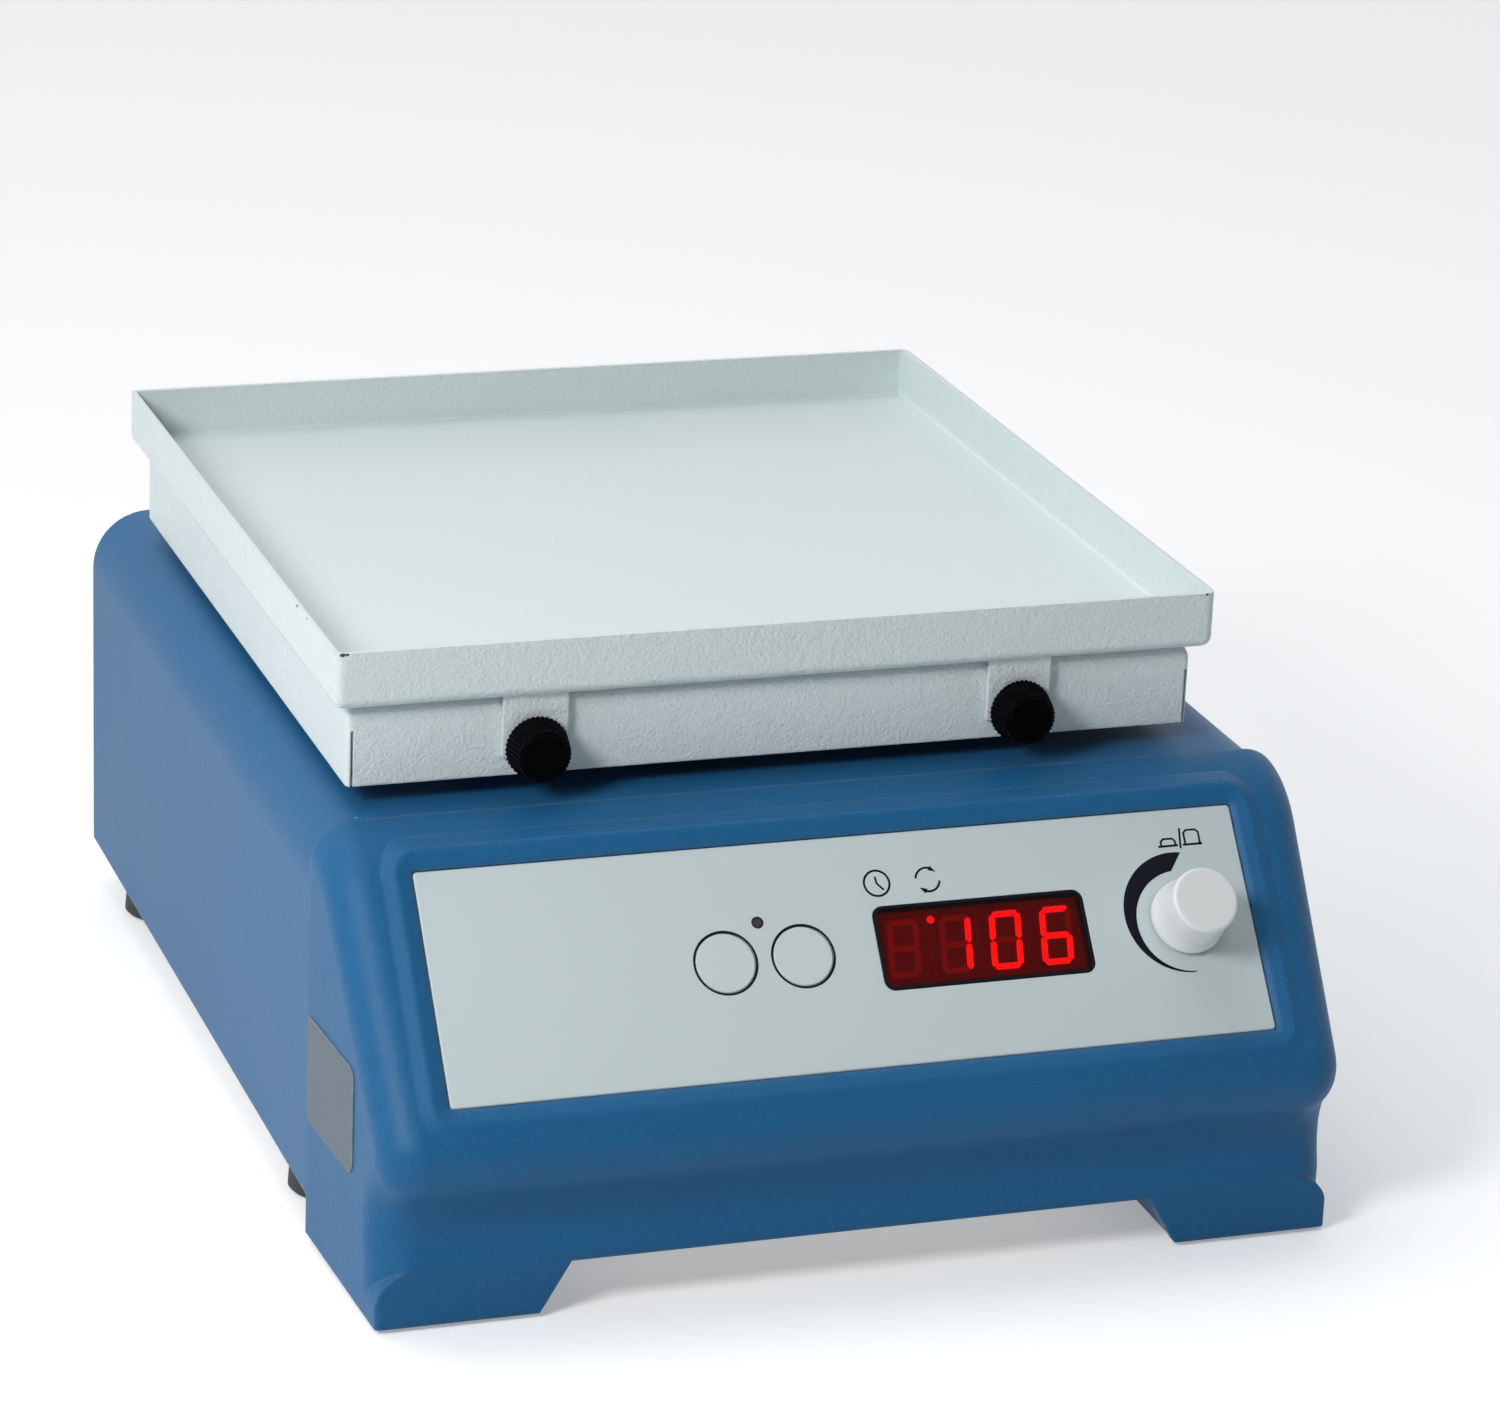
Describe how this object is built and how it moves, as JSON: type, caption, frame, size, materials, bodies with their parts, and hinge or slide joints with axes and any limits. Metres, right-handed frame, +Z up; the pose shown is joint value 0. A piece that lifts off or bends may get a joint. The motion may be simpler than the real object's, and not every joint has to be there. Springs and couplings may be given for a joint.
{
  "type": "laboratory shaker",
  "caption": "Bench-top orbital shaker: square tray on a crank-driven carriage over a rounded housing with a sloping control panel.",
  "frame": {"origin": "on the bench, under the middle of the bounding box", "axes": "+X to the right, +Y to the rear, +Z up; the control panel faces -Y"},
  "size_m": [0.244, 0.305, 0.1455],
  "materials": {
    "blue_moulding": "spark-eroded fine texture",
    "powder_coat": "off-white orange-peel powder coat",
    "panel_grey": "satin silver-grey foil",
    "dark_red_lens": "dark red window",
    "display_face": "black segment module",
    "lamp_dark": "unlit dark lens",
    "key_grey": "satin",
    "white_plastic": "satin white",
    "black_plastic": "satin black",
    "board_green": "solder mask",
    "sheet_steel": "zinc plated",
    "turned_steel": "turned and ground",
    "cast_alloy": "turned aluminium",
    "black_rubber": "matt",
    "brass_plated": "nickelled brass",
    "winding": "taped winding",
    "fuse_glass": "glass and nickelled caps"
  },
  "bodies": {
    "housing": {"rear_cover": "blue_moulding", "front_moulding": "blue_moulding", "front_panel": "panel_grey", "display_lens": "dark_red_lens", "display_module": "display_face", "indicator_lamp": "lamp_dark", "key_switches": "black_plastic", "control_board": "board_green", "board_screws": "sheet_steel", "control_switch": "black_plastic", "base_plate": "sheet_steel", "rubber_feet": "black_rubber", "foot_bolts": "sheet_steel", "cover_screws": "sheet_steel", "chassis_plate": "sheet_steel", "chassis_pillars": "sheet_steel", "chassis_bolts": "sheet_steel", "crank_housing": "cast_alloy", "crank_bearings": "turned_steel", "idler_housings": "cast_alloy", "idler_bearings": "turned_steel", "motor_stator": "cast_alloy", "motor_bolts": "sheet_steel", "drive_belt": "black_rubber", "mains_inlet": "black_plastic", "inlet_pins": "brass_plated", "power_board": "board_green", "power_spacers": "white_plastic", "power_screws": "sheet_steel", "power_transformer": "winding", "power_capacitors": "black_plastic", "heat_sink": "cast_alloy"},
    "crank": {"crankshaft": "turned_steel", "counterweight": "turned_steel", "driven_pulley": "cast_alloy", "pulley_bolt": "sheet_steel"},
    "carriage_frame": {"carriage": "powder_coat", "weld_nuts": "sheet_steel", "bearing_holders": "cast_alloy", "carriage_bearings": "turned_steel", "carriage_screws": "sheet_steel"},
    "idler_1": {"idler_crank_1": "turned_steel"},
    "idler_2": {"idler_crank_2": "turned_steel"},
    "idler_3": {"idler_crank_3": "turned_steel"},
    "motor_rotor": {"motor_shaft": "turned_steel", "motor_pulley": "cast_alloy"},
    "tray": {"platform_tray": "powder_coat"},
    "screw_left": {"thumb_screw_left": "black_plastic", "thumb_washer_left": "sheet_steel"},
    "screw_right": {"thumb_screw_right": "black_plastic", "thumb_washer_right": "sheet_steel"},
    "switch_sleeve": {"switch_slider": "white_plastic"},
    "speed_knob": {"knob_spindle": "turned_steel", "control_knob": "white_plastic"},
    "start_key": {"start_stop_key": "key_grey"},
    "mode_button": {"mode_key": "key_grey"},
    "drawer": {"fuse_drawer": "black_plastic", "fuses": "fuse_glass"}
  },
  "joints": [
    {"name": "crank_spin", "type": "hinge", "parent": "housing", "child": "crank", "pos_m": [0, 0.0265, 0.09], "axis": [0, 0, 1], "continuous": true},
    {"name": "carriage_turn", "type": "hinge", "parent": "crank", "child": "carriage_frame", "pos_m": [-0.0058, 0.02099, 0.117], "axis": [0, 0, 1], "continuous": true},
    {"name": "motor_spin", "type": "hinge", "parent": "housing", "child": "motor_rotor", "pos_m": [0, 0.11, 0.04], "axis": [0, 0, 1], "continuous": true},
    {"name": "tray_lift", "type": "slide", "parent": "carriage_frame", "child": "tray", "axis": [0, 0, 1], "range_m": [0, 0.06]},
    {"name": "idler_1_spin", "type": "hinge", "parent": "housing", "child": "idler_1", "pos_m": [0, 0.1065, 0.09], "axis": [0, 0, 1], "continuous": true},
    {"name": "idler_2_spin", "type": "hinge", "parent": "housing", "child": "idler_2", "pos_m": [-0.06928, -0.0135, 0.09], "axis": [0, 0, 1], "continuous": true},
    {"name": "idler_3_spin", "type": "hinge", "parent": "housing", "child": "idler_3", "pos_m": [0.06928, -0.0135, 0.09], "axis": [0, 0, 1], "continuous": true},
    {"name": "left_screw_turn", "type": "hinge", "parent": "carriage_frame", "child": "screw_left", "pos_m": [-0.0665, -0.09, 0.11875], "axis": [0, -1, 0], "range_deg": [0, 720]},
    {"name": "right_screw_turn", "type": "hinge", "parent": "carriage_frame", "child": "screw_right", "pos_m": [0.0549, -0.09, 0.11875], "axis": [0, -1, 0], "range_deg": [0, 720]},
    {"name": "mains_pull", "type": "slide", "parent": "housing", "child": "switch_sleeve", "axis": [0, -0.7694, 0.6388], "range_m": [0, 0.004]},
    {"name": "speed_turn", "type": "hinge", "parent": "switch_sleeve", "child": "speed_knob", "pos_m": [0.085, -0.12677, 0.07734], "axis": [0, -0.7694, 0.6388], "range_deg": [-150, 150]},
    {"name": "start_stop_press", "type": "slide", "parent": "housing", "child": "start_key", "axis": [0, 0.7694, -0.6388], "range_m": [0, 0.0004], "stiffness_N_per_m": 500},
    {"name": "mode_press", "type": "slide", "parent": "housing", "child": "mode_button", "axis": [0, 0.7694, -0.6388], "range_m": [0, 0.0004], "stiffness_N_per_m": 500},
    {"name": "fuse_drawer_slide", "type": "slide", "parent": "housing", "child": "drawer", "axis": [0, 1, 0], "range_m": [0, 0.02]}
  ],
  "couplings": [
    {"joint": "carriage_turn", "follows": "crank_spin", "ratio": -1},
    {"joint": "idler_1_spin", "follows": "crank_spin", "ratio": 1},
    {"joint": "idler_2_spin", "follows": "crank_spin", "ratio": 1},
    {"joint": "idler_3_spin", "follows": "crank_spin", "ratio": 1},
    {"joint": "motor_spin", "follows": "crank_spin", "ratio": 4}
  ]
}
